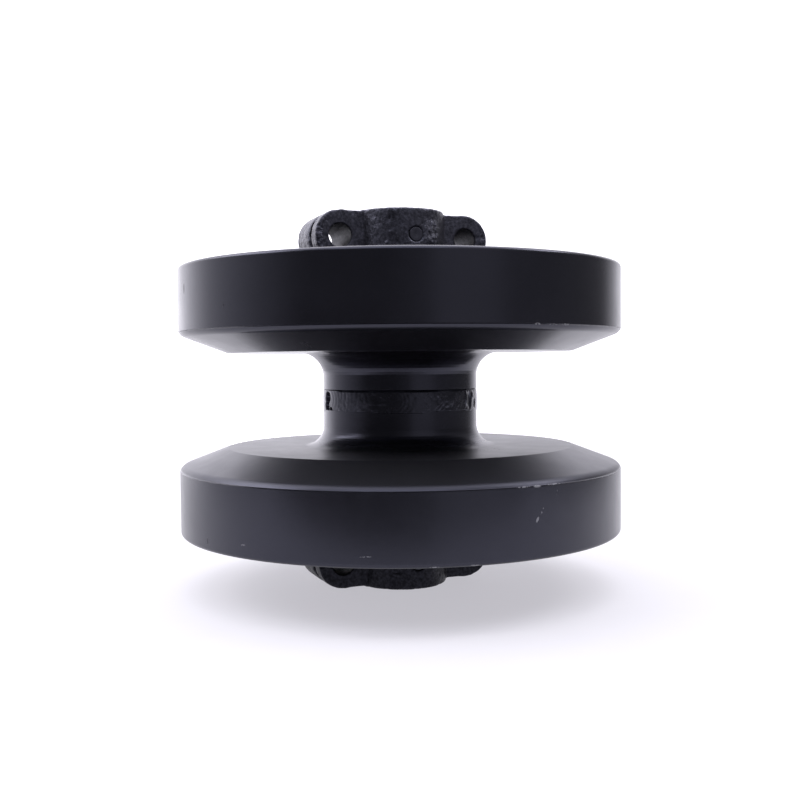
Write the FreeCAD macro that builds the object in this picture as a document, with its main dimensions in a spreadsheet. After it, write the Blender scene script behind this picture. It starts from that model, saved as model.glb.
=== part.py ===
import FreeCAD, Part
import math
import os
import Sketcher

# Track roller of a rubber-track loader. Two flanged half shells, welded together at the middle of a
# narrow hub, turn on a fixed shaft. A cast collar with two bolt lugs is pinned on each shaft end.
# Millimetres. Z is the roller axis and the origin is the roller's centre. The collars' lugs lie along
# X, their bolt holes and lock pins along Y, and their mounting pads face +Y. Every lower piece is the
# upper piece turned half a turn about Y.

DRIVING_SIZES = {
    # Half shell: flange, tread and hub
    "tread_radius": 127.0,
    "shell_half_width": 75.0,
    "tread_inner_height": 35.9,
    "cone_foot_radius": 100.0,
    "flange_inner_height": 27.0,
    "hub_radius": 45.0,
    "hub_fillet": 12.0,
    "tread_inner_fillet": 4.5,
    "tread_outer_fillet": 2.0,
    # Half shell: dished outer face and end boss
    "rim_land_radius": 112.0,
    "dish_outer_radius": 104.0,
    "dish_inner_radius": 62.0,
    "dish_height": 50.0,
    "dish_fillet": 6.0,
    "boss_radius": 56.0,
    "boss_height": 73.0,
    "boss_edge_fillet": 1.5,
    "labyrinth_radius": 48.2,
    # Weld between the half shells
    "weld_root_radius": 37.0,
    "weld_root_half_width": 2.0,
    "weld_half_width": 5.75,
    "weld_crown": 0.3,
    "weld_crown_half_width": 3.5,
    # Face seal: one metal ring turns with the shell, the other stands in the collar
    "seal_plane_height": 65.0,
    "seal_face_gap": 0.025,
    "seal_housing_gap": 1.5,
    "seal_housing_depth": 9.0,
    "seal_mouth_radius": 42.2,
    "seal_ramp_taper": 15.0,
    "seal_ring_bore_radius": 31.0,
    "seal_ring_face_radius": 40.0,
    "seal_ring_flange": 2.4,
    "seal_ring_neck_radius": 37.1,
    "seal_ring_length": 8.4,
    "toric_section_radius": 2.6,
    "toric_radius": 38.75,
    "toric_setback": 5.3,
    # Bushings and the oil space between them
    "bushing_bore_radius": 20.05,
    "bushing_radius": 24.0,
    "bushing_inner_height": 18.0,
    "bushing_flange_radius": 28.0,
    "bushing_flange_thickness": 3.0,
    "bushing_groove_radius": 1.5,
    "oil_space_radius": 27.0,
    # Shaft
    "shaft_radius": 20.0,
    "shaft_relief_radius": 19.4,
    "shaft_end_radius": 18.0,
    "shaft_end_height": 107.1,
    "shaft_chamfer": 1.5,
    "end_float": 0.25,
    # Oil way and its plug
    "oil_way_offset": 9.5,
    "oil_way_radius": 3.0,
    "oil_plug_radius": 6.0,
    "oil_plug_length": 9.0,
    "oil_plug_setback": 1.0,
    "oil_plug_chamfer": 0.5,
    "oil_plug_socket_radius": 3.4,
    "oil_plug_socket_depth": 5.0,
    # Collar casting
    "collar_top_height": 108.1,
    "collar_bore_radius": 18.03,
    "barrel_radius": 26.4,
    "barrel_chamfer": 1.0,
    "collar_flange_radius": 47.0,
    "collar_flange_height": 78.7,
    "collar_nose_radius": 28.0,
    "lug_half_spacing": 39.0,
    "lug_radius": 14.3,
    "lug_edge_fillet": 1.0,
    "lug_front": 8.6,
    "lug_back": 27.2,
    "web_front_recess": 1.2,
    "web_back_recess": 2.0,
    "web_root": 2.0,
    "frame_bolt_radius": 6.75,
    "frame_bolt_countersink": 0.8,
    "bolt_line_height": 93.0,
    # Lock pin across collar and shaft
    "lock_pin_radius": 4.0,
    "lock_pin_play": 0.03,
    "lock_pin_mouth_chamfer": 0.65,
    "lock_pin_half_length": 26.0,
    "lock_pin_chamfer": 0.4,
    # O-ring between collar and shaft
    "o_ring_height": 84.0,
    "o_ring_section_radius": 1.5,
    "o_ring_radius": 16.7,
    "o_ring_groove_radius": 15.4,
    "o_ring_groove_half_width": 2.0,
}

document = FreeCAD.newDocument("TrackRoller")
sheet = document.addObject("Spreadsheet::Sheet", "Sizes")
for row, (alias, number) in enumerate(DRIVING_SIZES.items(), start=1):
    sheet.set(f"A{row}", alias.replace("_", " "))
    sheet.set(f"B{row}", str(number))
    sheet.setAlias(f"B{row}", alias)
document.recompute()


class Size:
    """A number together with the spreadsheet expression that drives it."""

    def __init__(self, value, text):
        self.value = value
        self.text = text

    def __add__(self, other):
        return Size(self.value + other.value, f"({self.text} + {other.text})")

    def __sub__(self, other):
        return Size(self.value - other.value, f"({self.text} - {other.text})")

    def __neg__(self):
        return Size(-self.value, f"(-{self.text})")

    def __rmul__(self, factor):
        return Size(factor * self.value, f"({factor} * {self.text})")

    def slope(self, taper):
        """How far a cone of this taper closes in along this length."""
        ratio = math.tan(math.radians(taper.value))
        return Size(self.value * ratio, f"({self.text} * tan({taper.text} * 1 deg))")


def size(alias):
    return Size(getattr(sheet, alias), f"Sizes.{alias}")


ZERO = Size(0.0, "0")
seal_floor = size("seal_plane_height") - size("seal_housing_depth")
seal_far_floor = size("seal_plane_height") + size("seal_housing_depth")
seal_near_mouth = size("seal_plane_height") - size("seal_housing_gap")
seal_far_mouth = size("seal_plane_height") + size("seal_housing_gap")
seal_ramp_length = size("seal_housing_depth") - size("seal_housing_gap")
seal_floor_radius = size("seal_mouth_radius") - seal_ramp_length.slope(size("seal_ramp_taper"))
bushing_face = seal_floor + size("bushing_flange_thickness")
shoulder = bushing_face + size("end_float")
pin_hole_radius = size("lock_pin_radius") + size("lock_pin_play")
lug_top = size("bolt_line_height") + size("lug_radius")

UPPER = FreeCAD.Placement()
LOWER = FreeCAD.Placement(FreeCAD.Vector(), FreeCAD.Rotation(FreeCAD.Vector(0, 1, 0), 180))
ENDS = {"upper": UPPER, "lower": LOWER}
FILLET = "PartDesign::Fillet"
CHAMFER = "PartDesign::Chamfer"
SAME_PLACE = 0.01
SAME_DIRECTION = 0.999
SMALLEST_CUT = 1.0

# Sketcher's own numbers for the places a constraint can hold
START = 1
END = 2
CENTRE = 3
ACROSS_AXIS = -1
UP_AXIS = -2


def require(truth, message):
    if not truth:
        raise RuntimeError(message)


def new_body(node, placement=UPPER):
    body = document.addObject("PartDesign::Body", node)
    body.Label = node
    body.Placement = placement
    return body


def sketch_on(body, name, role, offset=None):
    """A sketch on one of the body's origin planes, moved along the plane's normal by offset."""
    planes = [item for item in body.Origin.OriginFeatures if item.Role == role]
    sketch = body.newObject("Sketcher::SketchObject", name)
    sketch.AttachmentSupport = (planes[0], "")
    sketch.MapMode = "FlatFace"
    if offset is not None:
        sketch.setExpression(".AttachmentOffset.Base.z", offset.text)
    return sketch


def hold(sketch, geometry, vertex, across, up):
    """Tie one vertex to the sketch's origin by two sizes."""
    for kind, axis, distance in (("DistanceX", UP_AXIS, across), ("DistanceY", ACROSS_AXIS, up)):
        if distance.value == 0:
            sketch.addConstraint(Sketcher.Constraint("PointOnObject", geometry, vertex, axis))
        else:
            ends = (ACROSS_AXIS, START, geometry, vertex)
            rule = Sketcher.Constraint(kind, *ends, distance.value)
            number = sketch.addConstraint(rule)
            sketch.setExpression(f"Constraints[{number}]", distance.text)


def draw_polygon(sketch, corners):
    """A closed run of straight edges through corners, each an (across, up) pair of sizes."""
    first = sketch.GeometryCount
    points = [FreeCAD.Vector(across.value, up.value, 0) for across, up in corners]
    for start, end in zip(points, points[1:] + points[:1]):
        sketch.addGeometry(Part.LineSegment(start, end), False)
    for index, (across, up) in enumerate(corners):
        following = first + (index + 1) % len(corners)
        joined = (first + index, END, following, START)
        sketch.addConstraint(Sketcher.Constraint("Coincident", *joined))
        hold(sketch, first + index, START, across, up)


def draw_circle(sketch, across, up, radius):
    centre = FreeCAD.Vector(across.value, up.value, 0)
    circle = sketch.addGeometry(Part.Circle(centre, FreeCAD.Vector(0, 0, 1), radius.value), False)
    number = sketch.addConstraint(Sketcher.Constraint("Radius", circle, radius.value))
    sketch.setExpression(f"Constraints[{number}]", radius.text)
    hold(sketch, circle, CENTRE, across, up)


def revolve(body, name, corners):
    """Turn a closed outline in the XZ plane once round the body's Z axis."""
    sketch = sketch_on(body, f"{name}_outline", "XZ_Plane")
    draw_polygon(sketch, corners)
    feature = body.newObject("PartDesign::Revolution", name)
    feature.Profile = sketch
    feature.ReferenceAxis = (sketch, ["V_Axis"])
    feature.Angle = 360
    document.recompute()


def pad_both_ways(body, name, sketch, forwards, backwards):
    """Raise a sketch of the XZ plane towards -Y by forwards and towards +Y by backwards."""
    pad = body.newObject("PartDesign::Pad", name)
    pad.Profile = sketch
    pad.SideType = "Two sides"
    pad.setExpression("Length", forwards.text)
    pad.setExpression("Length2", backwards.text)
    document.recompute()


def pocket_through(body, name, sketch):
    """Cut a sketch right through the body on both sides of its plane."""
    document.recompute()
    before = body.Shape.Volume
    pocket = body.newObject("PartDesign::Pocket", name)
    pocket.Profile = sketch
    pocket.SideType = "Symmetric"
    pocket.Type = "ThroughAll"
    document.recompute()
    require(body.Shape.Volume < before - SMALLEST_CUT, f"{name} cuts nothing")


def pocket_deep(body, name, sketch, depth, backwards=False):
    """Cut a sketch to a depth, against its plane's normal unless backwards."""
    document.recompute()
    before = body.Shape.Volume
    pocket = body.newObject("PartDesign::Pocket", name)
    pocket.Profile = sketch
    pocket.Reversed = backwards
    pocket.setExpression("Length", depth.text)
    document.recompute()
    require(body.Shape.Volume < before - SMALLEST_CUT, f"{name} cuts nothing")


def ring_edges(shape, rings):
    """Names of the circular edges about Z that have the given (radius, height) sizes."""
    names = []
    for radius, height in rings:
        found = [
            f"Edge{number}"
            for number, edge in enumerate(shape.Edges, start=1)
            if isinstance(edge.Curve, Part.Circle)
            and abs(edge.Curve.Axis.z) > SAME_DIRECTION
            and abs(edge.Curve.Radius - radius.value) < SAME_PLACE
            and abs(edge.Curve.Center.z - height.value) < SAME_PLACE
        ]
        require(found, f"no round edge of radius {radius.value} at height {height.value}")
        names += found
    return names


def face_edges(shape, radius, depth):
    """Names of the circular edges about the Y direction with this radius in the plane y = depth."""
    return [
        f"Edge{number}"
        for number, edge in enumerate(shape.Edges, start=1)
        if isinstance(edge.Curve, Part.Circle)
        and abs(edge.Curve.Axis.y) > SAME_DIRECTION
        and abs(edge.Curve.Radius - radius.value) < SAME_PLACE
        and abs(edge.Curve.Center.y - depth.value) < SAME_PLACE
    ]


def dress(body, name, kind, edges, amount):
    """Fillet or chamfer named edges of the body's last feature."""
    require(edges, f"{name} has no edge to work on")
    base = body.Tip
    dressing = body.newObject(kind, name)
    dressing.Base = (base, edges)
    driven = "Radius" if kind == FILLET else "Size"
    dressing.setExpression(driven, amount.text)
    document.recompute()
    require(not body.Shape.isNull() and "Invalid" not in dressing.State, f"{name} failed")


def fillet_rings(body, name, rings, radius):
    """Fillet the body's round edges about Z."""
    dress(body, name, FILLET, ring_edges(body.Tip.Shape, rings), radius)


def torus(node, radius, section, height):
    """A rubber ring of round section about the roller axis."""
    ring = document.addObject("Part::Torus", node)
    ring.Label = node
    ring.setExpression("Radius1", radius.text)
    ring.setExpression("Radius2", section.text)
    ring.setExpression(".Placement.Base.z", height.text)
    return ring


def half_shell(node, placement):
    """One flange with its tread, half the hub, and the housings for bushing and seal."""
    body = new_body(node, placement)
    corners = [
        (size("oil_space_radius"), ZERO),
        (size("weld_root_radius"), ZERO),
        (size("weld_root_radius"), size("weld_root_half_width")),
        (size("hub_radius"), size("weld_half_width")),
        (size("hub_radius"), size("flange_inner_height")),
        (size("cone_foot_radius"), size("flange_inner_height")),
        (size("tread_radius"), size("tread_inner_height")),
        (size("tread_radius"), size("shell_half_width")),
        (size("rim_land_radius"), size("shell_half_width")),
        (size("dish_outer_radius"), size("dish_height")),
        (size("dish_inner_radius"), size("dish_height")),
        (size("boss_radius"), size("boss_height")),
        (size("labyrinth_radius"), size("boss_height")),
        (size("labyrinth_radius"), seal_near_mouth),
        (size("seal_mouth_radius"), seal_near_mouth),
        (seal_floor_radius, seal_floor),
        (size("bushing_radius"), seal_floor),
        (size("bushing_radius"), size("bushing_inner_height")),
        (size("oil_space_radius"), size("bushing_inner_height")),
    ]
    revolve(body, f"{node}_forging", corners)
    inner_corner = (size("hub_radius"), size("flange_inner_height"))
    tread_inner_edge = (size("tread_radius"), size("tread_inner_height"))
    tread_outer_edge = (size("tread_radius"), size("shell_half_width"))
    dish_corners = [
        (size("dish_outer_radius"), size("dish_height")),
        (size("dish_inner_radius"), size("dish_height")),
    ]
    end_edges = [
        (size("rim_land_radius"), size("shell_half_width")),
        (size("boss_radius"), size("boss_height")),
    ]
    fillet_rings(body, f"{node}_hub_fillet", [inner_corner], size("hub_fillet"))
    fillet_rings(body, f"{node}_inner_rim", [tread_inner_edge], size("tread_inner_fillet"))
    fillet_rings(body, f"{node}_outer_rim", [tread_outer_edge], size("tread_outer_fillet"))
    fillet_rings(body, f"{node}_dish_fillet", dish_corners, size("dish_fillet"))
    fillet_rings(body, f"{node}_end_edges", end_edges, size("boss_edge_fillet"))
    return body


def weld_bead():
    """The ring of weld metal that fills the groove between the half shells."""
    body = new_body("weld_bead")
    half_outline = [
        (size("weld_root_radius"), size("weld_root_half_width")),
        (size("hub_radius"), size("weld_half_width")),
        (size("hub_radius") + size("weld_crown"), size("weld_crown_half_width")),
    ]
    mirrored = [(across, -up) for across, up in reversed(half_outline)]
    revolve(body, "weld_metal", half_outline + mirrored)
    return body


def shaft():
    """Fixed shaft: two journals, two collar seats, an offset oil way and a lock pin hole at each end."""
    body = new_body("shaft")
    half_outline = [
        (size("shaft_relief_radius"), size("bushing_inner_height")),
        (size("shaft_radius"), size("bushing_inner_height")),
        (size("shaft_radius"), shoulder),
        (size("shaft_end_radius"), shoulder),
        (size("shaft_end_radius"), size("o_ring_height") - size("o_ring_groove_half_width")),
        (size("o_ring_groove_radius"), size("o_ring_height") - size("o_ring_groove_half_width")),
        (size("o_ring_groove_radius"), size("o_ring_height") + size("o_ring_groove_half_width")),
        (size("shaft_end_radius"), size("o_ring_height") + size("o_ring_groove_half_width")),
        (size("shaft_end_radius"), size("shaft_end_height") - size("shaft_chamfer")),
        (size("shaft_end_radius") - size("shaft_chamfer"), size("shaft_end_height")),
        (ZERO, size("shaft_end_height")),
    ]
    mirrored = [(across, -up) for across, up in reversed(half_outline)]
    revolve(body, "shaft_bar", half_outline + mirrored)

    pin_holes = sketch_on(body, "shaft_pin_circles", "XZ_Plane")
    for height in (size("bolt_line_height"), -size("bolt_line_height")):
        draw_circle(pin_holes, ZERO, height, pin_hole_radius)
    pocket_through(body, "shaft_pin_holes", pin_holes)

    oil_way = sketch_on(body, "oil_way_circle", "XY_Plane", size("shaft_end_height"))
    draw_circle(oil_way, size("oil_way_offset"), ZERO, size("oil_way_radius"))
    pocket_deep(body, "oil_way", oil_way, size("shaft_end_height") + size("oil_way_radius"))

    plug_seat = sketch_on(body, "plug_seat_circle", "XY_Plane", size("shaft_end_height"))
    draw_circle(plug_seat, size("oil_way_offset"), ZERO, size("oil_plug_radius"))
    plug_seat_depth = size("oil_plug_length") + size("oil_plug_setback")
    pocket_deep(body, "plug_seat", plug_seat, plug_seat_depth)

    oil_outlet = sketch_on(body, "oil_outlet_circle", "YZ_Plane", size("oil_way_offset"))
    draw_circle(oil_outlet, ZERO, ZERO, size("oil_way_radius"))
    pocket_deep(body, "oil_outlet", oil_outlet, size("shaft_radius"), backwards=True)
    return body


def oil_plug():
    """Screwed plug with a hexagon socket, flush in the shaft's upper end."""
    body = new_body("oil_plug")
    body.setExpression(".Placement.Base.x", "Sizes.oil_way_offset")
    plug_top = size("shaft_end_height") - size("oil_plug_setback")
    body.setExpression(".Placement.Base.z", plug_top.text)
    radius = size("oil_plug_radius")
    foot = -size("oil_plug_length")
    chamfer = size("oil_plug_chamfer")
    corners = [(ZERO, foot), (radius, foot), (radius, -chamfer), (radius - chamfer, ZERO), (ZERO, ZERO)]
    revolve(body, "plug_blank", corners)
    socket = sketch_on(body, "plug_socket_hexagon", "XY_Plane")
    reach = size("oil_plug_socket_radius")
    half = math.cos(math.radians(60)) * reach
    tall = math.sin(math.radians(60)) * reach
    right_side = [(half, -tall), (reach, ZERO), (half, tall)]
    left_side = [(-half, tall), (-reach, ZERO), (-half, -tall)]
    draw_polygon(socket, right_side + left_side)
    pocket_deep(body, "plug_socket", socket, size("oil_plug_socket_depth"))
    return body


def bushing(node, placement):
    """Flanged bronze bushing pressed into the shell, with two lengthwise oil grooves."""
    body = new_body(node, placement)
    corners = [
        (size("bushing_bore_radius"), size("bushing_inner_height")),
        (size("bushing_radius"), size("bushing_inner_height")),
        (size("bushing_radius"), seal_floor),
        (size("bushing_flange_radius"), seal_floor),
        (size("bushing_flange_radius"), bushing_face),
        (size("bushing_bore_radius"), bushing_face),
    ]
    revolve(body, f"{node}_sleeve", corners)
    grooves = sketch_on(body, f"{node}_groove_circles", "XY_Plane", size("bushing_inner_height"))
    for centre in (size("bushing_bore_radius"), -size("bushing_bore_radius")):
        draw_circle(grooves, ZERO, centre, size("bushing_groove_radius"))
    pocket_through(body, f"{node}_grooves", grooves)
    return body


def seal_ring(node, placement, side):
    """Metal face-seal ring. Side is -1 for the ring in the shell and +1 for the one in the collar."""
    body = new_body(node, placement)

    def back(distance):
        return size("seal_plane_height") + side * (size("seal_face_gap") + distance)

    ramp_length = size("seal_ring_length") - size("seal_ring_flange")
    tail_radius = size("seal_ring_neck_radius") - ramp_length.slope(size("seal_ramp_taper"))
    corners = [
        (size("seal_ring_bore_radius"), back(ZERO)),
        (size("seal_ring_face_radius"), back(ZERO)),
        (size("seal_ring_face_radius"), back(size("seal_ring_flange"))),
        (size("seal_ring_neck_radius"), back(size("seal_ring_flange"))),
        (tail_radius, back(size("seal_ring_length"))),
        (size("seal_ring_bore_radius"), back(size("seal_ring_length"))),
    ]
    revolve(body, f"{node}_section", corners)
    return body


def pin_hole_mouths(shape):
    """Names of the closed edges where the lock pin's hole breaks out of the barrel."""
    names = []
    for number, edge in enumerate(shape.Edges, start=1):
        box = edge.BoundBox
        across = max(abs(box.XMin + pin_hole_radius.value), abs(box.XMax - pin_hole_radius.value))
        above = abs(box.Center.z - size("bolt_line_height").value)
        outside = abs(box.Center.y) > size("collar_bore_radius").value
        if across < SAME_PLACE and above < SAME_PLACE and outside:
            names.append(f"Edge{number}")
    return names


def collar(node, placement):
    """Cast end collar: barrel on the shaft, two bolt lugs, and a flange that houses the fixed seal."""
    body = new_body(node, placement)
    spacing = size("lug_half_spacing")
    bolt_line = size("bolt_line_height")

    web_foot = size("collar_flange_height") - size("web_root")
    web = sketch_on(body, f"{node}_web_outline", "XZ_Plane")
    draw_polygon(web, [(-spacing, web_foot), (spacing, web_foot), (spacing, lug_top), (-spacing, lug_top)])
    web_front = size("lug_front") - size("web_front_recess")
    web_back = size("lug_back") - size("web_back_recess")
    pad_both_ways(body, f"{node}_web", web, web_front, web_back)

    bosses = sketch_on(body, f"{node}_boss_circles", "XZ_Plane")
    for across in (-spacing, spacing):
        draw_circle(bosses, across, bolt_line, size("lug_radius"))
    pad_both_ways(body, f"{node}_bosses", bosses, size("lug_front"), size("lug_back"))
    front = -size("lug_front")
    boss_rims = face_edges(body.Tip.Shape, size("lug_radius"), front)
    dress(body, f"{node}_boss_rims", FILLET, boss_rims, size("lug_edge_fillet"))

    corners = [
        (ZERO, shoulder),
        (size("collar_nose_radius"), shoulder),
        (size("collar_nose_radius"), seal_far_floor),
        (seal_floor_radius, seal_far_floor),
        (size("seal_mouth_radius"), seal_far_mouth),
        (size("collar_flange_radius"), seal_far_mouth),
        (size("collar_flange_radius"), size("collar_flange_height")),
        (size("barrel_radius"), size("collar_flange_height")),
        (size("barrel_radius"), size("collar_top_height") - size("barrel_chamfer")),
        (size("barrel_radius") - size("barrel_chamfer"), size("collar_top_height")),
        (ZERO, size("collar_top_height")),
    ]
    revolve(body, f"{node}_barrel", corners)

    bore = sketch_on(body, f"{node}_bore_circle", "XY_Plane")
    draw_circle(bore, ZERO, ZERO, size("collar_bore_radius"))
    pocket_through(body, f"{node}_bore", bore)

    cross_holes = sketch_on(body, f"{node}_cross_hole_circles", "XZ_Plane")
    for across in (-spacing, spacing):
        draw_circle(cross_holes, across, bolt_line, size("frame_bolt_radius"))
    draw_circle(cross_holes, ZERO, bolt_line, pin_hole_radius)
    pocket_through(body, f"{node}_cross_holes", cross_holes)

    hole_mouths = face_edges(body.Tip.Shape, size("frame_bolt_radius"), front)
    dress(body, f"{node}_countersinks", CHAMFER, hole_mouths, size("frame_bolt_countersink"))
    pin_mouths = pin_hole_mouths(body.Tip.Shape)
    dress(body, f"{node}_pin_mouths", CHAMFER, pin_mouths, size("lock_pin_mouth_chamfer"))
    return body


def lock_pin(node, height):
    """Plain steel pin with chamfered ends, driven through collar and shaft along Y."""
    lying_along_y = FreeCAD.Rotation(FreeCAD.Vector(1, 0, 0), 90)
    body = new_body(node, FreeCAD.Placement(FreeCAD.Vector(), lying_along_y))
    body.setExpression(".Placement.Base.z", height.text)
    radius = size("lock_pin_radius")
    length = size("lock_pin_half_length")
    chamfer = size("lock_pin_chamfer")
    half_outline = [(radius, length - chamfer), (radius - chamfer, length), (ZERO, length)]
    mirrored = [(across, -up) for across, up in reversed(half_outline)]
    revolve(body, f"{node}_bar", half_outline + mirrored)
    return body


nodes = [weld_bead(), shaft(), oil_plug()]
for end, placement in ENDS.items():
    toward = 1 if end == "upper" else -1
    nodes.append(half_shell(f"{end}_shell", placement))
    nodes.append(bushing(f"{end}_bushing", placement))
    nodes.append(collar(f"{end}_collar", placement))
    nodes.append(lock_pin(f"{end}_lock_pin", toward * size("bolt_line_height")))
    nodes.append(seal_ring(f"{end}_turning_seal_ring", placement, -1))
    nodes.append(seal_ring(f"{end}_fixed_seal_ring", placement, 1))
    for part, side in (("turning", -1), ("fixed", 1)):
        height = toward * (size("seal_plane_height") + side * size("toric_setback"))
        name = f"{end}_{part}_toric"
        nodes.append(torus(name, size("toric_radius"), size("toric_section_radius"), height))
    height = toward * size("o_ring_height")
    name = f"{end}_shaft_o_ring"
    nodes.append(torus(name, size("o_ring_radius"), size("o_ring_section_radius"), height))

document.recompute()
faults = [item.Name for item in document.Objects if {"Invalid", "Error"} & set(item.State)]
require(not faults, f"failed objects: {faults}")
for node in nodes:
    require(not node.Shape.isNull() and node.Shape.isValid(), f"{node.Label} has no valid shape")

os.makedirs("parts", exist_ok=True)
for node in nodes:
    node.Shape.exportStep(f"parts/{node.Label}.step")
    print(f"{node.Label}: {node.Shape.Volume / 1000:.1f} cm3")
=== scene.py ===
import math
from collections import namedtuple

import bpy
import numpy as np
from mathutils import Matrix, Vector


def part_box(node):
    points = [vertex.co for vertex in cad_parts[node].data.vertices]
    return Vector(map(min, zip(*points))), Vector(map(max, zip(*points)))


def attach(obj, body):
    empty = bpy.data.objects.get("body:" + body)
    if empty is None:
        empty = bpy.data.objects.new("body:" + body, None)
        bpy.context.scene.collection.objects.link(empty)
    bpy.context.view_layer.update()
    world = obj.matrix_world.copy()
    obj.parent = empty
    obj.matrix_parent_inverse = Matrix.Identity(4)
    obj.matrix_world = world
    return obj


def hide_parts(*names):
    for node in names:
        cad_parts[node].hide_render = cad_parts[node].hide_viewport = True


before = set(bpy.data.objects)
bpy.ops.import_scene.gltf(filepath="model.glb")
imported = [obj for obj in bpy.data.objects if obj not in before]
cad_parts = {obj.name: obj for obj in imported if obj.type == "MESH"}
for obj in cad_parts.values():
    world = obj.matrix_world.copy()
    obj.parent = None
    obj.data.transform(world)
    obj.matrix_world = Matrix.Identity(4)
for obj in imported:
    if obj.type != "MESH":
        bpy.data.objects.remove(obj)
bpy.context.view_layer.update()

# Track roller of a rubber-track loader, standing on its lower collar. Its axis is Z, and the front faces
# of the collars look along -Y. Shapes are worked out in millimetres, those of the shell and the collar
# for the upper end, and turned into metres when a mesh is made. A turn is an angle about Z, measured from
# -Y towards +X.
MM = 0.001
X, Y, Z = 0, 1, 2

# Sizes read from the CAD nodes
TREAD_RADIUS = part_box("upper_shell")[1].x / MM
SHELL_HALF_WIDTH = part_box("upper_shell")[1].z / MM
COLLAR_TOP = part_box("upper_collar")[1].z / MM
COLLAR_NOSE_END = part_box("upper_collar")[0].z / MM
LUG_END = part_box("upper_collar")[1].x / MM
PIN_HALF_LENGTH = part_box("upper_lock_pin")[1].y / MM
PIN_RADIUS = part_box("upper_lock_pin")[1].x / MM
BOLT_LINE = (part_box("upper_lock_pin")[0].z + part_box("upper_lock_pin")[1].z) / 2 / MM

# Face seal at each end: its middle plane, the gap each side of it, and its tapered seats
SEAL_PLANE = 65.0
SEAL_GAP = 1.5
SEAL_DEPTH = 9.0
SEAL_MOUTH_RADIUS = 42.2
SEAL_FLOOR_RADIUS = 40.2

# Shell, with places along the axis measured from the roller's middle
HUB_RADIUS = 45.0
BUSHING_SEAT_RADIUS = 24.0
BUSHING_SEAT_START = 18.0
OIL_SPACE_RADIUS = 27.0
FLANGE_INNER_FACE = 27.0
CONE_FOOT_RADIUS = 100.0
CONE_TOP = 37.2
TREAD_EDGE = 39.2
SHOULDER_FILLET = 5.8
SHOULDER_LEAN = math.tan(math.radians(22))
RIM_LAND_RADIUS = 112.0
DISH_RADIUS = 104.0
DISH_FLOOR = 50.0
DISH_FOOT_RADIUS = 62.0
BOSS_RADIUS = 56.0
BOSS_TOP = 73.0
LABYRINTH_RADIUS = 48.2

# Weld bead, and the groove it fills
WELD_HALF_WIDTH = 5.75
WELD_ROOT_RADIUS = 37.0
WELD_TOP_EDGE = 5.5
WELD_LOW_EDGE = -6.9

# Collar casting
BARREL_RADIUS = 26.4
COLLAR_FLANGE_RADIUS = 47.0
COLLAR_FLANGE_TOP = 78.7
COLLAR_FLANGE_FOOT = SEAL_PLANE + SEAL_GAP
COLLAR_NOSE_RADIUS = 28.0
COLLAR_BORE_RADIUS = 18.03
SEAL_FLOOR = SEAL_PLANE + SEAL_DEPTH
LUG_RADIUS = 14.3
LUG_SPACING = LUG_END - LUG_RADIUS
LUG_FRONT = -8.6
LUG_BACK = 27.2
FRAME_BOLT_RADIUS = 6.75
PARTING_PLANE = 3.0
CASTING_DRAFT = 0.018

# The camera stands in front and to the left of the collars' front faces. Its distance and height are in
# metres, and its lens in millimetres
CAMERA_AZIMUTH = math.radians(-22.6)
CAMERA_DISTANCE = 0.5833
CAMERA_HEIGHT = 0.0211
CAMERA_PITCH = math.radians(2.18)
CAMERA_ROLL = math.radians(0.48)
CAMERA_LENS = 44.6

# The floor lies just clear of the collar's end face, in metres
FLOOR_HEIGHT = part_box("lower_collar")[0].z - 0.05 * MM

STUDIO_WHITE = (1.0, 0.98, 1.06, 1.0)
FRONT_WHITE = (0.96, 0.98, 1.14, 1.0)
PAINT_SHEEN = (0.93, 0.95, 1.22, 1.0)

# Chips, scratches and stains on the treads, in millimetres and degrees. The turn is from the camera's line
# of sight and the tilt from level. share is how much of the spot is marked
Mark = namedtuple("Mark", "turn height half_length half_width tilt share")
UPPER_MARKS = [
    Mark(31.5, 39.0, 2.4, 0.55, 0, 0.52),
    Mark(36.0, 38.9, 4.0, 0.45, 0, 0.5),
    Mark(40.0, 39.0, 3.0, 0.55, 0, 0.55),
]
LOWER_MARKS = [
    Mark(27.5, -38.9, 4.5, 0.4, 0, 0.52),
    Mark(31.2, -39.0, 2.6, 0.7, 0, 0.62),
    Mark(36.0, -38.8, 5.0, 0.55, 0, 0.55),
    Mark(31.2, -55.2, 1.7, 0.8, 62, 0.66),
    Mark(32.5, -51.3, 2.2, 0.45, 60, 0.5),
    Mark(37.0, -43.0, 1.6, 0.3, 80, 0.5),
    Mark(-37.7, -67.8, 2.0, 0.5, 5, 0.5),
    Mark(-7.5, -69.2, 3.2, 0.35, 3, 0.5),
    Mark(7.0, -74.4, 2.6, 0.4, 0, 0.53),
    Mark(15.7, -74.4, 3.0, 0.5, 0, 0.54),
]
UPPER_STAINS = [
    Mark(-64.0, 61.0, 1.6, 3.4, 0, 0.75),
    Mark(-43.0, 50.0, 0.8, 1.0, 0, 0.7),
]
LOWER_STAINS = [
    Mark(-51.2, -69.5, 0.8, 1.8, 0, 0.8),
]

# Places where the bead starts and stops. Turns are in degrees, from the camera's line of sight. Metal
# stands proud where the depth is negative
WeldFlaw = namedtuple("WeldFlaw", "turn height half_turn half_height depth")
WELD_FLAWS = [
    WeldFlaw(-66.0, 1.2, 4.2, 2.9, 2.6),
    WeldFlaw(-67.5, -3.4, 3.6, 2.6, 2.2),
    WeldFlaw(-60.5, -5.6, 2.0, 1.3, 1.5),
    WeldFlaw(55.5, 0.8, 1.3, 3.8, -0.45),
    WeldFlaw(60.5, -0.4, 3.0, 4.2, 0.9),
    WeldFlaw(66.0, 2.2, 1.4, 2.0, -0.5),
    WeldFlaw(71.0, -2.5, 2.2, 2.6, 0.6),
]

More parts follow.
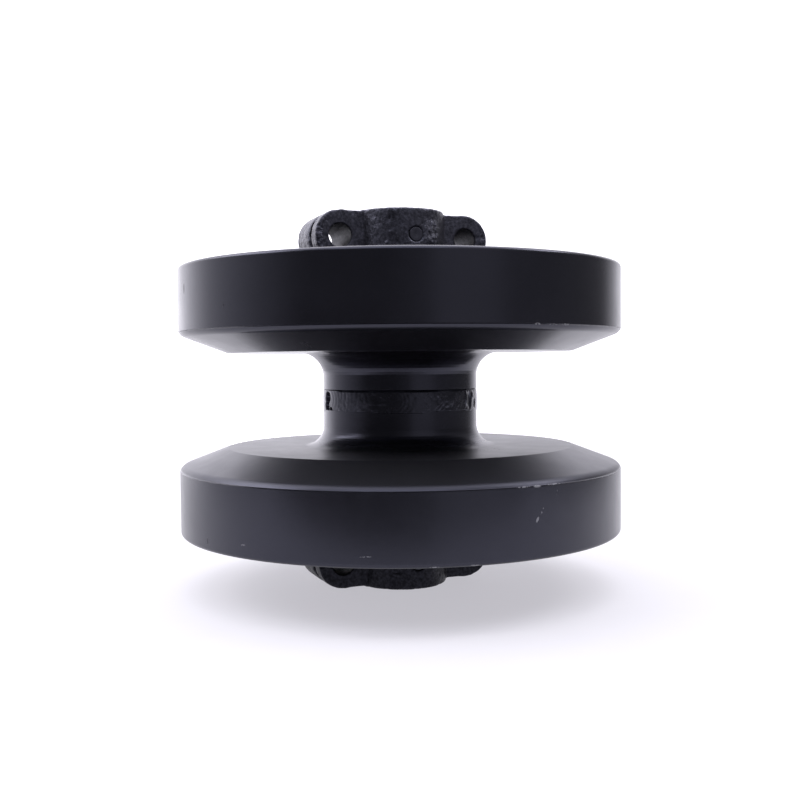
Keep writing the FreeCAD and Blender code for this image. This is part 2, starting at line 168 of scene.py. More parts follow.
# Pits in the collar's barrel, most of them beside the lock pin. The turn is in degrees, from the collar's
# front. A negative depth is a lump
BarrelFlaw = namedtuple("BarrelFlaw", "turn height radius depth")
BARREL_FLAWS = [
    BarrelFlaw(24.5, 99.4, 1.0, -0.6),
    BarrelFlaw(27.5, 98.2, 0.9, 0.7),
    BarrelFlaw(30.0, 99.2, 0.8, -0.5),
    BarrelFlaw(20.5, 95.6, 0.9, -0.6),
    BarrelFlaw(22.0, 93.4, 1.1, 0.9),
    BarrelFlaw(31.0, 94.2, 1.0, 0.8),
    BarrelFlaw(28.0, 91.8, 1.2, -0.8),
    BarrelFlaw(33.0, 91.6, 0.8, -0.4),
    BarrelFlaw(21.5, 89.2, 1.3, -0.9),
    BarrelFlaw(25.0, 87.2, 1.1, 0.9),
    BarrelFlaw(28.5, 88.6, 0.9, -0.7),
    BarrelFlaw(-34.0, 101.5, 1.2, 0.4),
    BarrelFlaw(-36.0, 88.0, 1.2, -0.4),
    BarrelFlaw(-32.0, 94.0, 0.9, -0.35),
    BarrelFlaw(-16.0, 90.0, 1.6, 0.2),
]


def from_view(across, away, up):
    """A place given across and away from the camera's line of sight, turned into the row's frame."""
    return Matrix.Rotation(CAMERA_AZIMUTH, 3, "Z") @ Vector((across, away, up))


def turn_from_view(degrees):
    """A turn from the camera's line of sight, in radians from -Y."""
    return math.radians(math.degrees(CAMERA_AZIMUTH) + degrees)


# ---------------------------------------------------------------- meshes

def make_piece(name, points, faces, body, material, replaces):
    """A smooth-shaded object from points in millimetres, riding on a CAD body in place of a CAD node."""
    mesh = bpy.data.meshes.new(name)
    mesh.from_pydata((np.asarray(points) * MM).tolist(), [], faces)
    mesh.validate()
    mesh.materials.append(material)
    mesh.polygons.foreach_set("use_smooth", [True] * len(mesh.polygons))
    piece = bpy.data.objects.new(name, mesh)
    bpy.context.scene.collection.objects.link(piece)
    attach(piece, body)
    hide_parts(replaces)


def fillet_arc(before, corner, after, radius, arc_step=math.radians(8)):
    """Points of the arc that rounds a corner between the two points beside it."""
    towards_before = (before - corner) / np.linalg.norm(before - corner)
    towards_after = (after - corner) / np.linalg.norm(after - corner)
    half_angle = math.acos(np.clip(towards_before @ towards_after, -1, 1)) / 2
    bisector = (towards_before + towards_after) / np.linalg.norm(towards_before + towards_after)
    centre = corner + bisector * radius / math.sin(half_angle)
    start = corner + towards_before * radius / math.tan(half_angle) - centre
    end = corner + towards_after * radius / math.tan(half_angle) - centre
    turn = math.atan2(start[0] * end[1] - start[1] * end[0], start @ end)
    steps = max(3, math.ceil(abs(turn) / arc_step))
    arc = []
    for step in range(steps + 1):
        angle = turn * step / steps
        across = start[0] * math.cos(angle) - start[1] * math.sin(angle)
        up = start[0] * math.sin(angle) + start[1] * math.cos(angle)
        arc.append(centre + (across, up))
    return arc


def with_supports(outline, support, longest=6):
    """The outline with a close point at each end of a long run, and its middle cut into shorter steps."""
    supported = []
    for here, following in zip(outline, outline[1:] + outline[:1]):
        supported.append(here)
        run = following - here
        length = np.linalg.norm(run)
        if length > 4 * support:
            inner_steps = max(1, round(length / longest))
            supported.append(here + run * support / length)
            for step in range(1, inner_steps):
                supported.append(here + run * step / inner_steps)
            supported.append(following - run * support / length)
    return np.array(supported)


def rounded(corners, support=0.35):
    """Closed outline through (across, up, fillet radius) corners."""
    outline = []
    for index, (across, up, radius) in enumerate(corners):
        corner = np.array([across, up])
        if radius == 0:
            outline.append(corner)
            continue
        before = np.array(corners[index - 1][:2])
        after = np.array(corners[(index + 1) % len(corners)][:2])
        outline.extend(fillet_arc(before, corner, after, radius))
    return with_supports(outline, support)


def lathe(outline, segments, shape=None):
    """Points and faces of a closed outline turned about Z. shape may move the turned points."""
    angles = np.linspace(0, 2 * math.pi, segments, endpoint=False)[:, None]
    across = np.repeat(outline[None, :, 0], segments, axis=0)
    up = np.repeat(outline[None, :, 1], segments, axis=0)
    if shape:
        across, up = shape(angles, across, up)
    points = np.stack([across * np.sin(angles), -across * np.cos(angles), up], axis=-1)
    count = len(outline)
    faces = []
    for turn in range(segments):
        this, following = turn * count, (turn + 1) % segments * count
        for step in range(count):
            ahead = (step + 1) % count
            faces.append((this + step, following + step, following + ahead, this + ahead))
    return points.reshape(-1, 3), faces


def half_turned(points):
    """The same points turned half a turn about Y, from the upper end to the lower one."""
    return np.asarray(points) * (-1, 1, -1)


def crossing_points(field):
    """The middle of each grid cell's crossings of a field's zero surface, in grid steps, and where the
    crossed cells are."""
    cells = np.array(field.shape) - 1
    total = np.zeros((*cells, 3))
    crossings = np.zeros(cells)
    for axis in (X, Y, Z):
        others = [other for other in (X, Y, Z) if other != axis]
        for offset in np.ndindex(2, 2):
            edge_start = [slice(0, cell_count) for cell_count in cells]
            for other, shift in zip(others, offset):
                edge_start[other] = slice(shift, shift + cells[other])
            edge_end = list(edge_start)
            edge_end[axis] = slice(1, cells[axis] + 1)
            start, end = field[tuple(edge_start)], field[tuple(edge_end)]
            crossed = (start < 0) != (end < 0)
            share = np.where(crossed, start / np.where(crossed, start - end, 1), 0)
            total[..., axis] += share
            for other, shift in zip(others, offset):
                total[..., other] += np.where(crossed, shift, 0)
            crossings += crossed
    used = crossings > 0
    return np.argwhere(used) + total[used] / crossings[used][:, None], used


def surface_net(field, low, pitch):
    """Points and faces of the zero surface of a field sampled on a grid, one point to a crossed cell."""
    middles, used = crossing_points(field)
    numbers = np.full(used.shape, -1)
    numbers[used] = np.arange(used.sum())
    inside = field < 0
    faces = []
    for axis in (X, Y, Z):
        first, second = (axis + 1) % 3, (axis + 2) % 3
        start = [slice(1, -1)] * 3
        end = [slice(1, -1)] * 3
        start[axis] = slice(0, -1)
        end[axis] = slice(1, None)
        entering = inside[tuple(start)] & ~inside[tuple(end)]
        leaving = ~inside[tuple(start)] & inside[tuple(end)]
        for crossed, order in ((entering, 1), (leaving, -1)):
            place = np.argwhere(crossed)
            place[:, first] += 1
            place[:, second] += 1
            ring = []
            for shift_first, shift_second in ((0, 0), (-1, 0), (-1, -1), (0, -1)):
                cell = place.copy()
                cell[:, first] += shift_first
                cell[:, second] += shift_second
                ring.append(numbers[tuple(cell.T)])
            faces.append(np.stack(ring[::order], axis=1))
    return low + middles * pitch, np.concatenate(faces)


def settle(points, field, reach=0.05, longest_move=0.4, least_steepness=0.2):
    """Points drawn onto the field's zero surface along its slope, in three passes."""
    for _ in range(3):
        slope = np.stack(
            [field(points + reach * unit) - field(points - reach * unit) for unit in np.eye(3)], axis=-1
        ) / (2 * reach)
        steepness = np.maximum((slope ** 2).sum(axis=-1), least_steepness)
        move = np.clip(field(points) / steepness, -longest_move, longest_move)
        points = points - move[:, None] * slope
    return points


# ---------------------------------------------------------------- fields, in millimetres

def value_noise(points, feature, seed):
    """Smooth noise from -1 to 1 at each point, with lumps about feature across."""
    table = np.random.default_rng(seed).uniform(-1, 1, (32, 32, 32))
    place = np.asarray(points) / feature
    cell = np.floor(place).astype(int)
    part = place - cell
    ease = part * part * (3 - 2 * part)
    total = np.zeros(place.shape[:-1])
    for corner in np.ndindex(2, 2, 2):
        weight = np.prod(np.where(np.array(corner) == 1, ease, 1 - ease), axis=-1)
        index = (cell + corner) % len(table)
        total += weight * table[index[..., 0], index[..., 1], index[..., 2]]
    return total


def hub_places(angles, up):
    """Places on the hub's surface, where its noise is looked up."""
    around = np.broadcast_to(angles, up.shape)
    return np.stack([HUB_RADIUS * np.cos(around), HUB_RADIUS * np.sin(around), up], axis=-1)


def smooth_step(value, low, high):
    """0 below low and 1 above high, with a smooth rise between them."""
    share = np.clip((value - low) / (high - low), 0, 1)
    return share * share * (3 - 2 * share)


def rod(points, axis, centre, radius, low, high, edge):
    """Distance to a cylinder along an axis, with its edges rounded."""
    others = [other for other in (X, Y, Z) if other != axis]
    radial = np.hypot(points[..., others[0]] - centre[0], points[..., others[1]] - centre[1]) - radius
    axial = np.abs(points[..., axis] - (low + high) / 2) - (high - low) / 2
    outer = np.hypot(np.maximum(radial + edge, 0), np.maximum(axial + edge, 0))
    return outer - edge + np.minimum(np.maximum(radial, axial) + edge, 0)


def block(points, low, high, edge):
    """Distance to a box with rounded edges."""
    low, high = np.array(low), np.array(high)
    over = np.abs(points - (low + high) / 2) - (high - low) / 2 + edge
    return np.linalg.norm(np.maximum(over, 0), axis=-1) - edge + np.minimum(over.max(axis=-1), 0)


def join(first, second, fillet):
    """Union of two solids with a round fillet where they meet."""
    gap = np.hypot(np.maximum(fillet - first, 0), np.maximum(fillet - second, 0))
    return np.maximum(fillet, np.minimum(first, second)) - gap


def on_barrel(turn, height):
    """A place on the surface of the upper collar's barrel, with the turn in degrees."""
    angle = math.radians(turn)
    return BARREL_RADIUS * math.sin(angle), -BARREL_RADIUS * math.cos(angle), height


# ---------------------------------------------------------------- the upper collar as a field

def cast_body(points):
    """Barrel, web, lugs and flange, drawn towards the parting plane as a mould needs."""
    draft = CASTING_DRAFT * np.abs(points[..., Y] - PARTING_PLANE)
    barrel = rod(points, Z, (0, 0), BARREL_RADIUS, COLLAR_FLANGE_FOOT, COLLAR_TOP, edge=1.3)
    web_low = (-LUG_SPACING, LUG_FRONT + 0.15, SEAL_FLOOR + 1)
    web_high = (LUG_SPACING, LUG_BACK - 2.0, BOLT_LINE + LUG_RADIUS + 0.3)
    web = block(points, web_low, web_high, edge=1.0) + draft * 0.5
    cast = join(barrel, web, fillet=1.3)
    for side in (-1, 1):
        centre = (side * LUG_SPACING, BOLT_LINE)
        boss = rod(points, Y, centre, LUG_RADIUS + 0.45, LUG_FRONT, LUG_BACK, edge=1.2) + draft * 0.6
        cast = join(cast, boss, fillet=0.7)
    flange = rod(points, Z, (0, 0), COLLAR_FLANGE_RADIUS, COLLAR_FLANGE_FOOT, COLLAR_FLANGE_TOP, edge=0.8)
    return join(cast, flange, fillet=1.6)


def parting_groove(points, seed):
    """Depth of the ragged groove round the lugs, where the mould's two halves met."""
    x, y, z = points[..., X], points[..., Y], points[..., Z]
    depth, half_width = 2.3, 1.8
    on_lug = smooth_step(np.abs(x), LUG_SPACING - 8, LUG_SPACING - 2)
    above_flange = smooth_step(z, COLLAR_FLANGE_TOP, COLLAR_FLANGE_TOP + 1.5)
    seam = y - PARTING_PLANE - 0.7 * value_noise(points, 4.0, seed)
    ragged = 1.0 + 0.5 * value_noise(points, 2.4, seed + 3)
    return depth * ragged * on_lug * above_flange * np.exp(-((seam / half_width) ** 2))


def casting_skin(points, seed):
    """Depth of the sand's marks, and of the single lumps and pits."""
    lumps = 0.5 + 0.5 * value_noise(points, 5.5, seed + 1)
    grain = 0.5 + 0.5 * value_noise(points, 2.1, seed + 2)
    depth = 0.14 * lumps + 0.28 * grain ** 2
    for flaw in BARREL_FLAWS:
        away = np.linalg.norm(points - np.array(on_barrel(flaw.turn, flaw.height)), axis=-1)
        depth = depth + flaw.depth * np.exp(-((away / flaw.radius) ** 2))
    return depth


def seal_seat(points):
    """The tapered ring-shaped seat in the flange, as a solid to cut away."""
    depth = points[..., Z] - COLLAR_FLANGE_FOOT
    taper = (SEAL_MOUTH_RADIUS - SEAL_FLOOR_RADIUS) / (SEAL_FLOOR - COLLAR_FLANGE_FOOT)
    from_axis = np.hypot(points[..., X], points[..., Y])
    return np.maximum(from_axis - SEAL_MOUTH_RADIUS + taper * depth, points[..., Z] - SEAL_FLOOR)


def collar_holes(points):
    """The shaft's bore, the two bolt holes and the pin's hole, as one solid to cut away."""
    x, y, z = points[..., X], points[..., Y], points[..., Z]
    from_axis = np.hypot(x, y)
    bore = from_axis - COLLAR_BORE_RADIUS - 0.8 * smooth_step(z, COLLAR_TOP - 1.0, COLLAR_TOP)
    deepest_chamfer = 1.5
    pin_chamfer = np.clip(from_axis - BARREL_RADIUS + 0.9, 0, deepest_chamfer)
    pin_hole = np.hypot(x, z - BOLT_LINE) - PIN_RADIUS - 0.05 - pin_chamfer
    holes = np.minimum(bore, np.maximum(pin_hole, COLLAR_BORE_RADIUS - from_axis))
    bolt_chamfer = np.clip(LUG_FRONT + 0.45 - y, 0, deepest_chamfer)
    bolt_chamfer = bolt_chamfer + np.clip(y - LUG_BACK + 0.5, 0, deepest_chamfer)
    for side in (-1, 1):
        bolt_hole = np.hypot(x - side * LUG_SPACING, z - BOLT_LINE) - FRAME_BOLT_RADIUS - bolt_chamfer
        holes = np.minimum(holes, bolt_hole)
    return holes


def collar_field(points, seed):
    """Distance to the cast end collar, with a turned end face, nose, seal seat and holes."""
    cast = cast_body(points) + parting_groove(points, seed) + casting_skin(points, seed)
    cast = np.maximum(cast, points[..., Z] - COLLAR_TOP)
    nose = rod(points, Z, (0, 0), COLLAR_NOSE_RADIUS, COLLAR_NOSE_END, SEAL_FLOOR + 2, edge=0.4)
    solid = np.minimum(np.maximum(cast, -seal_seat(points)), nose)
    return np.maximum(solid, -collar_holes(points))


# ---------------------------------------------------------------- shader nodes

def node(tree, kind, inputs=None, **settings):
    """A shader node, with each input set to a value or linked to a socket."""
    made = tree.nodes.new(kind)
    for name, value in settings.items():
        setattr(made, name, value)
    for name, value in (inputs or {}).items():
        if isinstance(value, bpy.types.NodeSocket):
            tree.links.new(value, made.inputs[name])
        else:
            made.inputs[name].default_value = value
    return made


def maths(tree, operation, *values):
    """Result of a Math node."""
    return node(tree, "ShaderNodeMath", dict(enumerate(values)), operation=operation).outputs[0]


def plus(tree, first, *others):
    """Sum of two or more values."""
    for other in others:
        first = maths(tree, "ADD", first, other)
    return first


def times(tree, first, *others):
    """Product of two or more values."""
    for other in others:
        first = maths(tree, "MULTIPLY", first, other)
    return first


def larger(tree, first, second):
    return maths(tree, "MAXIMUM", first, second)


def sum_of_squares(tree, first, second):
    return plus(tree, times(tree, first, first), times(tree, second, second))


def remap(tree, value, low, high, new_low, new_high):
    """The value scaled from one range to another, and held inside the new one."""
    inputs = {"Value": value, "From Min": low, "From Max": high, "To Min": new_low, "To Max": new_high}
    return node(tree, "ShaderNodeMapRange", inputs, clamp=True).outputs[0]


def rise(tree, value, none_at, full_at):
    """0 where the value is none_at, 1 where it is full_at."""
    return remap(tree, value, none_at, full_at, 0.0, 1.0)


def noise_value(tree, place, scale, detail=3.0, roughness=0.55):
    """Noise of about 0.3 to 0.7, with lumps of 1 / scale metres."""
    inputs = {"Vector": place, "Scale": scale, "Detail": detail, "Roughness": roughness}
    return node(tree, "ShaderNodeTexNoise", inputs).outputs[0]


def blend_colour(tree, share, first, second):
    """Colour that goes from first to second as share goes from 0 to 1."""
    factor, from_colour, to_colour, result = 0, 6, 7, 2
    inputs = {factor: share, from_colour: first, to_colour: second}
    return node(tree, "ShaderNodeMix", inputs, data_type="RGBA").outputs[result]


def grey(level, blue=1.0):
    """A grey with its blue part scaled."""
    return (level, level, level * blue, 1.0)


def near(tree, place, centre, inner, outer):
    """1 within inner of a place in millimetres, falling to 0 at outer."""
    inputs = {0: place, 1: tuple(part * MM for part in centre)}
    away = node(tree, "ShaderNodeVectorMath", inputs, operation="DISTANCE").outputs["Value"]
    return rise(tree, away, outer * MM, inner * MM)


def turned_place(tree, place):
    """Place in turned coordinates: a vector that is the same all the way round the axis, the turn, the
    distance from the axis, and the height."""
    parts = node(tree, "ShaderNodeSeparateXYZ", {"Vector": place}).outputs
    radius = maths(tree, "SQRT", sum_of_squares(tree, parts[X], parts[Y]))
    ring = node(tree, "ShaderNodeCombineXYZ", {"X": radius, "Y": 0.0, "Z": parts[Z]}).outputs[0]
    turn = maths(tree, "ARCTAN2", parts[X], times(tree, parts[Y], -1.0))
    return ring, turn, radius, parts[Z]


def mark_mask(tree, turn, height, place, marks):
    """1 where the tread is marked: ragged ellipses, broken up by noise."""
    total = 0.0
    crumbs = noise_value(tree, place, 900.0, 4.0, 0.7)
    for mark in marks:
        along = times(tree, maths(tree, "SUBTRACT", turn, turn_from_view(mark.turn)), TREAD_RADIUS)
        up = times(tree, maths(tree, "SUBTRACT", height, mark.height * MM), 1 / MM)
        cosine, sine = math.cos(math.radians(mark.tilt)), math.sin(math.radians(mark.tilt))
        lengthwise = plus(tree, times(tree, along, cosine), times(tree, up, sine))
        crosswise = plus(tree, times(tree, up, cosine), times(tree, along, -sine))
        from_middle = sum_of_squares(tree, maths(tree, "DIVIDE", lengthwise, mark.half_length),
                                     maths(tree, "DIVIDE", crosswise, mark.half_width))
        spot = rise(tree, from_middle, 1.0, 0.3)
        ragged = rise(tree, crumbs, 1.0 - mark.share, 1.06 - mark.share)
        total = larger(tree, total, times(tree, spot, ragged))
    return total


# ---------------------------------------------------------------- materials

def new_material(name, metallic, specular=0.5):
    """A material with its tree, its shader and the place on the object that its noises are looked up at."""
    material = bpy.data.materials.new(name)
    material.use_nodes = True
    tree = material.node_tree
    surface = tree.nodes["Principled BSDF"]
    surface.inputs["Metallic"].default_value = metallic
    surface.inputs["Specular IOR Level"].default_value = specular
    if not metallic:
        surface.inputs["Specular Tint"].default_value = PAINT_SHEEN
    place = node(tree, "ShaderNodeTexCoord").outputs["Object"]
    return material, tree, surface, place


def set_surface(tree, surface, colour, roughness, height=None, bump=0.0, bump_reach=0.0002):
    """Link the shader's colour, roughness and relief."""
    tree.links.new(colour, surface.inputs["Base Color"])
    tree.links.new(roughness, surface.inputs["Roughness"])
    if height is not None:
        inputs = {"Height": height, "Strength": bump, "Distance": bump_reach}
        tree.links.new(node(tree, "ShaderNodeBump", inputs).outputs["Normal"], surface.inputs["Normal"])


def spatter(tree, place):
    """1 on the crumbs of dirt that lie on the lower flange beside the hub."""
    crumbs = rise(tree, noise_value(tree, place, 800.0, 1.0, 0.5), 0.66, 0.7)
    return times(tree, crumbs, near(tree, place, from_view(49, -41, -FLANGE_INNER_FACE), 6, 16))


def shell_paint(name, marks, stains, dust_and_light):
    """Black paint over a forging: satin on the turned tread and hub, gritty on the forged faces between
    them and painted lighter there, as dust and as painted light, with a few chips, scratches and stains."""
    material, tree, surface, place = new_material(name, 0.0)
    ring, turn, radius, height = turned_place(tree, place)
    beyond_hub = rise(tree, radius, (HUB_RADIUS + 3) * MM, (HUB_RADIUS + 11) * MM)
    inside_tread = rise(tree, radius, (TREAD_RADIUS - 0.2) * MM, (TREAD_RADIUS - 0.8) * MM)
    dusty_and_lit = times(tree, beyond_hub, inside_tread, dust_and_light)
    on_tread = rise(tree, radius, (TREAD_RADIUS - 9) * MM, (TREAD_RADIUS - 7) * MM)
    worn = times(tree, on_tread, mark_mask(tree, turn, height, place, marks))
    stained = times(tree, on_tread, mark_mask(tree, turn, height, place, stains))
    stained = larger(tree, stained, spatter(tree, place))

    clouds = rise(tree, noise_value(tree, place, 22.0, 4.0, 0.6), 0.3, 0.7)
    colour = blend_colour(tree, clouds, grey(0.0045, 1.3), grey(0.0075, 1.3))
    # Forged faces painted lighter, most on the lower flange, whose faces turn up to the lights: dust, and
    # painted light.
    colour = blend_colour(tree, dusty_and_lit, colour, grey(0.013, 1.1))
    colour = blend_colour(tree, worn, colour, grey(0.22, 1.05))

    roughness = remap(tree, noise_value(tree, place, 60.0, 5.0, 0.6), 0.3, 0.7, 0.21, 0.26)
    roughness = plus(tree, roughness, times(tree, dusty_and_lit, 0.16))
    roughness = larger(tree, roughness, times(tree, worn, 0.55))
    roughness = plus(tree, roughness, times(tree, stained, 0.12))
    gloss = plus(tree, times(tree, stained, -0.22), 0.5)
    tree.links.new(gloss, surface.inputs["Specular IOR Level"])

    turning = times(tree, noise_value(tree, ring, 2600.0, 2.0, 0.5), 0.6)
    peel = times(tree, noise_value(tree, place, 900.0, 2.0, 0.5), 0.6)
    grit = times(tree, noise_value(tree, place, 450.0, 4.0, 0.7), dusty_and_lit, 2.5)
    relief = plus(tree, turning, peel, grit, times(tree, worn, -1.5))
    set_surface(tree, surface, colour, roughness, relief, 0.07, 0.0001)
    return material


def weld_paint():
    """Black paint over rough weld metal."""
    material, tree, surface, place = new_material("weld_paint", 0.0)
    clouds = noise_value(tree, place, 160.0, 5.0, 0.65)
    colour = blend_colour(tree, rise(tree, clouds, 0.35, 0.65), grey(0.003, 1.2), grey(0.006, 1.2))
    roughness = remap(tree, clouds, 0.3, 0.7, 0.2, 0.3)
    relief = noise_value(tree, place, 700.0, 5.0, 0.65)
    set_surface(tree, surface, colour, roughness, relief, 0.2, 0.0002)
    return material


def collar_masks(tree, place, lumps):
    """1 in a collar's bolt holes, in the mould's groove round its lugs, and on the lugs' outer sides."""
    parts = node(tree, "ShaderNodeSeparateXYZ", {"Vector": place}).outputs
    height = maths(tree, "ABSOLUTE", parts[Z])
    outward = plus(tree, maths(tree, "ABSOLUTE", parts[X]), -LUG_SPACING * MM)
    from_bolt = maths(tree, "SQRT", sum_of_squares(tree, outward, plus(tree, height, -BOLT_LINE * MM)))
    in_hole = rise(tree, from_bolt, (FRAME_BOLT_RADIUS + 0.6) * MM, (FRAME_BOLT_RADIUS + 0.3) * MM)

    from_seam = maths(tree, "ABSOLUTE", plus(tree, parts[Y], -PARTING_PLANE * MM))
    wander = times(tree, plus(tree, lumps, -0.5), 3.0 * MM)
    in_seam = rise(tree, plus(tree, from_seam, wander), 2.1 * MM, 1.3 * MM)
    beyond_hole = rise(tree, from_bolt, 9.0 * MM, 11.0 * MM)
    on_lug = rise(tree, outward, -8.0 * MM, -2.0 * MM)
    above_flange = rise(tree, height, COLLAR_FLANGE_TOP * MM, (COLLAR_FLANGE_TOP + 1.5) * MM)
    in_seam = times(tree, in_seam, beyond_hole, on_lug, above_flange)
    on_side = rise(tree, outward, 8.0 * MM, 11.0 * MM)
    return in_hole, in_seam, on_side


def cast_paint(name, tone):
    """Black paint over a sand casting: grainy, scarred beside the pin with light flecks painted there as
    glints, dull in the bolt holes, and bare of shine and painted darker in the mould's groove as shade. A
    lower tone paints the colours and shine darker all over, as shade on a collar that stands in shadow."""
    material, tree, surface, place = new_material(name, 0.0, 0.7 * tone)
    blotches = noise_value(tree, place, 90.0, 5.0, 0.65)
    grains = noise_value(tree, place, 760.0, 4.0, 0.7)
    lumps = noise_value(tree, place, 330.0, 4.0, 0.6)
    scar = near(tree, place, on_barrel(25.5, 93), 4, 9)
    painted_glints = times(tree, scar, rise(tree, lumps, 0.58, 0.66))
    in_hole, in_seam, on_side = collar_masks(tree, place, lumps)

    # A tone below 1 paints the collar's colours and shine darker: painted shade.
    dark, light = grey(0.009 * tone, 1.25), grey(0.021 * tone, 1.25)
    colour = blend_colour(tree, rise(tree, blotches, 0.35, 0.65), dark, light)
    colour = blend_colour(tree, rise(tree, grains, 0.58, 0.72), colour, grey(0.045 * tone, 1.15))
    # Painted highlights: light flecks in the scar beside the pin stand in for glints off the rough metal.
    colour = blend_colour(tree, painted_glints, colour, grey(0.14 * tone, 1.1))
    colour = blend_colour(tree, in_hole, colour, grey(0.022 * tone, 1.1))
    # Painted shade: the mould's groove is coloured darker for the shade that falls in it.
    colour = blend_colour(tree, in_seam, colour, grey(0.004 * tone, 1.1))

    roughness = remap(tree, blotches, 0.3, 0.7, 0.3, 0.42)
    roughness = larger(tree, roughness, times(tree, in_hole, 0.5))
    roughness = larger(tree, roughness, times(tree, in_seam, 0.85))
    dull = larger(tree, times(tree, in_hole, 0.5), in_seam)
    speckle = noise_value(tree, place, 620.0, 3.0, 0.6)
    gloss = remap(tree, speckle, 0.4, 0.62, 0.4 * tone, 1.0 * tone)
    gloss = times(tree, gloss, maths(tree, "SUBTRACT", 1.0, dull))
    tree.links.new(gloss, surface.inputs["Specular IOR Level"])

    lump_relief = times(tree, lumps, plus(tree, 0.5, times(tree, scar, 2.2), times(tree, on_side, 2.4)))
    grain_relief = times(tree, grains, plus(tree, 0.4, scar))
    set_surface(tree, surface, colour, roughness, plus(tree, lump_relief, grain_relief), 0.9, 0.0006)
    return material


def pin_paint():
    """Thin black paint over the smooth end of a steel pin."""
    material, tree, surface, place = new_material("pin_paint", 0.0)
    clouds = noise_value(tree, place, 500.0, 4.0, 0.6)
    colour = blend_colour(tree, rise(tree, clouds, 0.35, 0.65), grey(0.016, 1.2), grey(0.03, 1.2))
    roughness = remap(tree, clouds, 0.3, 0.7, 0.38, 0.5)
    set_surface(tree, surface, colour, roughness, clouds, 0.3, 0.0002)
    return material


def machined_metal(name, tone, rough_low, rough_high):
    """Bare metal with fine rings left by the lathe, and darker stains."""
    material, tree, surface, place = new_material(name, 1.0)
    ring = turned_place(tree, place)[0]
    rings = noise_value(tree, ring, 1800.0, 3.0, 0.6)
    stains = noise_value(tree, place, 120.0, 5.0, 0.6)
    dark = tuple(part * 0.6 for part in tone)
    colour = blend_colour(tree, rise(tree, stains, 0.35, 0.7), (*tone, 1.0), (*dark, 1.0))
    roughness = remap(tree, rings, 0.3, 0.7, rough_low, rough_high)
    set_surface(tree, surface, colour, roughness, rings, 0.25, 0.0001)
    return material


def seal_rubber():
    """Dull black rubber with a faint dusty bloom."""
    material, tree, surface, place = new_material("seal_rubber", 0.0, 0.4)
    bloom = noise_value(tree, place, 260.0, 4.0, 0.6)
    colour = blend_colour(tree, rise(tree, bloom, 0.4, 0.7), grey(0.012), grey(0.03))
    roughness = remap(tree, bloom, 0.3, 0.7, 0.55, 0.75)
    set_surface(tree, surface, colour, roughness, noise_value(tree, place, 2400.0), 0.2, 0.0001)
    return material


def floor_material():
    """Pale, matte paper on a light table, so that the shadow stays light."""
    material, tree, surface, place = new_material("floor_paper", 0.0, 0.2)
    surface.inputs["Emission Color"].default_value = STUDIO_WHITE
    surface.inputs["Emission Strength"].default_value = 0.5
    fibres = noise_value(tree, place, 40.0, 6.0, 0.6)
    colour = blend_colour(tree, fibres, grey(0.36), grey(0.39))
    roughness = remap(tree, fibres, 0.3, 0.7, 0.85, 0.95)
    set_surface(tree, surface, colour, roughness)
    return material


# ---------------------------------------------------------------- the roller's pieces

def shell_outline(turned_to, hub_fillet):
    """Section of the upper half shell, from the weld groove round the flange to the bushing's seat. The
    hub and the tread are turned, and cut the forging's round corners off with a faint edge."""
    fillet_rise = FLANGE_INNER_FACE - turned_to
    hub_lean = math.tan(math.asin(1 - fillet_rise / hub_fillet))
    cone_slope = (CONE_TOP - FLANGE_INNER_FACE) / (TREAD_RADIUS - CONE_FOOT_RADIUS)
    shoulder = TREAD_EDGE - (TREAD_EDGE - CONE_TOP) / (1 - cone_slope * SHOULDER_LEAN)
    joint_gap = 0.3
    root_depth = 2.3
    hub_and_flange = [
        (OIL_SPACE_RADIUS, joint_gap, 0.3),
        (WELD_ROOT_RADIUS, joint_gap, 0.3),
        (WELD_ROOT_RADIUS, root_depth, 0.4),
        (HUB_RADIUS, WELD_HALF_WIDTH + 0.15, 0.15),
        (HUB_RADIUS, turned_to, 0.1),
        (HUB_RADIUS + fillet_rise * hub_lean, FLANGE_INNER_FACE, hub_fillet - 0.15),
        (CONE_FOOT_RADIUS, FLANGE_INNER_FACE, 2.5),
        (TREAD_RADIUS - (TREAD_EDGE - shoulder) * SHOULDER_LEAN, shoulder, SHOULDER_FILLET),
    ]
    tread_and_dish = [
        (TREAD_RADIUS, TREAD_EDGE, 0.3),
        (TREAD_RADIUS, SHELL_HALF_WIDTH, 2.0),
        (RIM_LAND_RADIUS, SHELL_HALF_WIDTH, 1.5),
        (DISH_RADIUS, DISH_FLOOR, 6.0),
        (DISH_FOOT_RADIUS, DISH_FLOOR, 6.0),
        (BOSS_RADIUS, BOSS_TOP, 1.5),
    ]
    seats = [
        (LABYRINTH_RADIUS, BOSS_TOP, 0.5),
        (LABYRINTH_RADIUS, SEAL_PLANE - SEAL_GAP, 0.6),
        (SEAL_MOUTH_RADIUS, SEAL_PLANE - SEAL_GAP, 0.5),
        (SEAL_FLOOR_RADIUS, SEAL_PLANE - SEAL_DEPTH, 0.4),
        (BUSHING_SEAT_RADIUS, SEAL_PLANE - SEAL_DEPTH, 0.4),
        (BUSHING_SEAT_RADIUS, BUSHING_SEAT_START, 0.4),
        (OIL_SPACE_RADIUS, BUSHING_SEAT_START, 0.4),
    ]
    return rounded(hub_and_flange + tread_and_dish + seats)


def hub_shape(seed):
    """A faint waviness round the hub."""
    def shape(angles, across, up):
        on_hub = (across < HUB_RADIUS + 8) & (across > HUB_RADIUS - 0.5) & (up < FLANGE_INNER_FACE)
        wave = 0.05 + 0.05 * value_noise(hub_places(angles, up), 9.0, seed)
        return across - np.where(on_hub, wave, 0), up
    return shape


